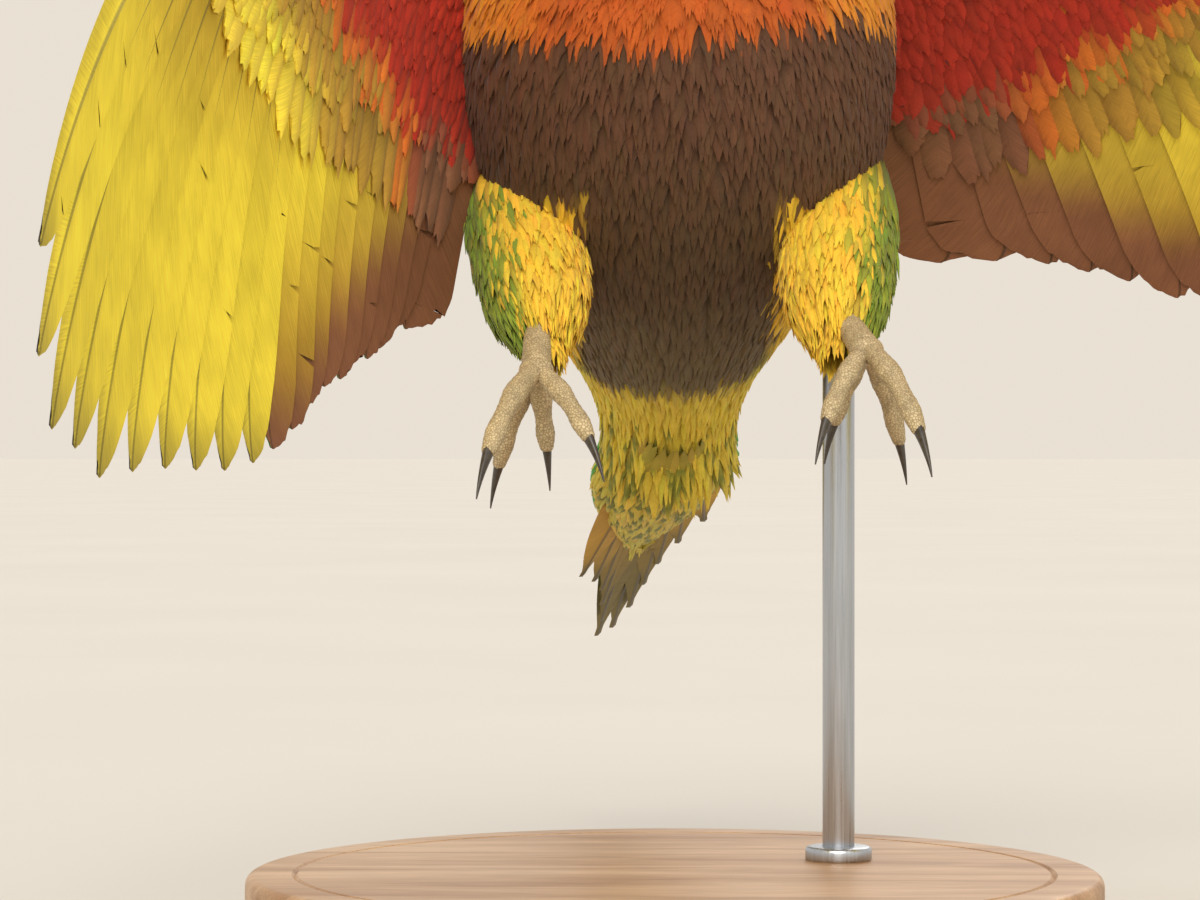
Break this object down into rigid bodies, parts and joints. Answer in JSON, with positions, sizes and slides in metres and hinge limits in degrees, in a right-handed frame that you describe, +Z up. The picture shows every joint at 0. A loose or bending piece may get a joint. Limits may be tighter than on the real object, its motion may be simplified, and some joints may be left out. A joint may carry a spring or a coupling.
{
  "type": "rainbow lorikeet",
  "caption": "Life-size display model of a rainbow lorikeet braking in flight, wings spread forward and feet lowered to land, held on a steel rod above a round wooden base.",
  "frame": {"origin": "centre of the underside of the stand's round base", "axes": "+Z up; -Y the way the bird faces, so +Y runs back along the tail; +X the bird's left"},
  "size_m": [0.2402, 0.317, 0.1935],
  "materials": {
    "plumage_head": "blue feathers, shaft-streaked, soft sheen",
    "plumage_collar": "yellow-green collar at the back, orange breast in front, soft sheen",
    "plumage_body": "dark brown belly, orange breast and green back, soft sheen",
    "plumage_green": "green feathers, soft sheen",
    "plumage_vent": "yellow-green feathers with dark green tips, matte",
    "plumage_thigh": "yellow feathers with green edges, matte",
    "plumage_wing": "orange-red under the wing, green above, soft sheen",
    "wing_feathers": "yellow band and brown ends below, green above, satin vanes",
    "tail_feathers": "yellow-olive below, green above, satin vanes",
    "bill": "smooth orange-red horn with a paler tip",
    "eye": "wet orange-red iris round a black pupil",
    "foot_skin": "scaly grey-brown skin",
    "claw": "smooth dark horn",
    "stand_wood": "oiled, fine grain",
    "stand_steel": "satin"
  },
  "bodies": {
    "root": {"bill_lower": "bill", "bill_upper": "bill", "eye_left": "eye", "eye_right": "eye", "head": "plumage_head", "leg_left_claw_inner_front": "claw", "leg_left_claw_inner_hind": "claw", "leg_left_claw_outer_front": "claw", "leg_left_claw_outer_hind": "claw", "leg_left_shank": "foot_skin", "leg_left_thigh": "plumage_thigh", "leg_left_toe_inner_front": "foot_skin", "leg_left_toe_inner_hind": "foot_skin", "leg_left_toe_outer_front": "foot_skin", "leg_left_toe_outer_hind": "foot_skin", "leg_right_claw_inner_front": "claw", "leg_right_claw_inner_hind": "claw", "leg_right_claw_outer_front": "claw", "leg_right_claw_outer_hind": "claw", "leg_right_shank": "foot_skin", "leg_right_thigh": "plumage_thigh", "leg_right_toe_inner_front": "foot_skin", "leg_right_toe_inner_hind": "foot_skin", "leg_right_toe_outer_front": "foot_skin", "leg_right_toe_outer_hind": "foot_skin", "neck": "plumage_collar", "rump": "plumage_green", "stand_base": "stand_wood", "stand_rod": "stand_steel", "tail_coverts_under": "plumage_vent", "tail_coverts_upper": "plumage_green", "tail_left": "tail_feathers", "tail_middle": "tail_feathers", "tail_right": "tail_feathers", "trunk": "plumage_body", "wing_left_arm": "plumage_wing", "wing_left_hand": "plumage_wing", "wing_left_primaries": "wing_feathers", "wing_left_secondaries": "wing_feathers", "wing_right_arm": "plumage_wing", "wing_right_hand": "plumage_wing", "wing_right_primaries": "wing_feathers", "wing_right_secondaries": "wing_feathers"}
  },
  "joints": []
}
